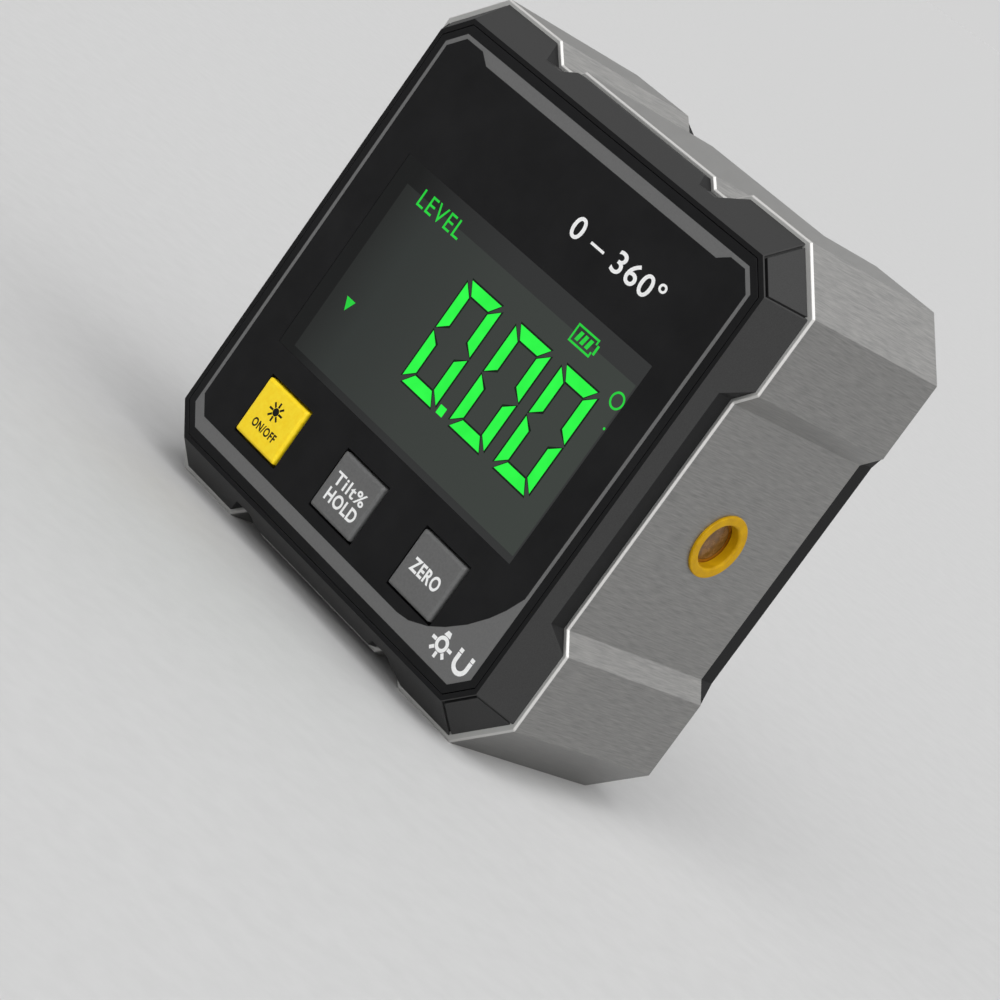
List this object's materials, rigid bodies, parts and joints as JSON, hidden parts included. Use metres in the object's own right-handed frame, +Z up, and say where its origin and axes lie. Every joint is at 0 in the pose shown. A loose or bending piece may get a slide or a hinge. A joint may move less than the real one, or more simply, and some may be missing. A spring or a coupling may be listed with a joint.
{
  "type": "digital angle gauge",
  "caption": "Square digital angle gauge: notched aluminium frame, sloped black bezel with display and push keys, laser outlet in the side, magnetic base and rear battery bay.",
  "frame": {"origin": "on the plane of the base pads, under the middle of the body's width and depth", "axes": "+Z up from the base, the front with the display looks along -Y, +X to the right seen from the front"},
  "size_m": [0.06, 0.0318, 0.06],
  "materials": {
    "frame_aluminium": "brushed",
    "black_plastic": "satin moulded",
    "panel_acrylic": "glossy, printed from behind",
    "display_glass": "grey display",
    "backlight_plastic": "diffuse",
    "strip_rubber": "matte",
    "board_laminate": "solder mask",
    "chip_resin": "matte",
    "plunger_plastic": "matte",
    "yellow_plastic": "satin",
    "grey_plastic": "satin",
    "amber_plastic": "satin",
    "barrel_brass": "turned",
    "lens_glass": "amber",
    "magnet_nickel": "nickel plated",
    "cell_sleeve": "printed sleeve",
    "contact_steel": "nickel plated",
    "screw_steel": "zinc plated"
  },
  "bodies": {
    "body": {"frame": "frame_aluminium", "front_bezel": "black_plastic", "front_panel": "panel_acrylic", "display_glass": "display_glass", "backlight": "backlight_plastic", "contact_strips": "strip_rubber", "main_board": "board_laminate", "controller_chip": "chip_resin", "angle_sensor": "chip_resin", "buzzer": "chip_resin", "switch_bodies": "chip_resin", "laser_bush": "amber_plastic", "laser_barrel": "barrel_brass", "laser_lens": "lens_glass", "base_magnets": "magnet_nickel", "rear_cover": "black_plastic", "left_cell": "cell_sleeve", "right_cell": "cell_sleeve", "contact_plates": "contact_steel", "contact_springs": "contact_steel", "cover_screws": "screw_steel", "board_screws": "screw_steel"},
    "power_key": {"power_button": "yellow_plastic", "power_plunger": "plunger_plastic"},
    "hold_key": {"hold_button": "grey_plastic", "hold_plunger": "plunger_plastic"},
    "zero_key": {"zero_button": "grey_plastic", "zero_plunger": "plunger_plastic"},
    "door": {"battery_door": "black_plastic"}
  },
  "joints": [
    {"name": "power_press", "type": "slide", "parent": "body", "child": "power_key", "axis": [0, 1, 0], "range_m": [0, 0.0003], "stiffness_N_per_m": 800},
    {"name": "hold_press", "type": "slide", "parent": "body", "child": "hold_key", "axis": [0, 1, 0], "range_m": [0, 0.0003], "stiffness_N_per_m": 800},
    {"name": "zero_press", "type": "slide", "parent": "body", "child": "zero_key", "axis": [0, 1, 0], "range_m": [0, 0.0003], "stiffness_N_per_m": 800},
    {"name": "door_lift", "type": "slide", "parent": "body", "child": "door", "axis": [0, 1, 0], "range_m": [0, 0.03]}
  ]
}
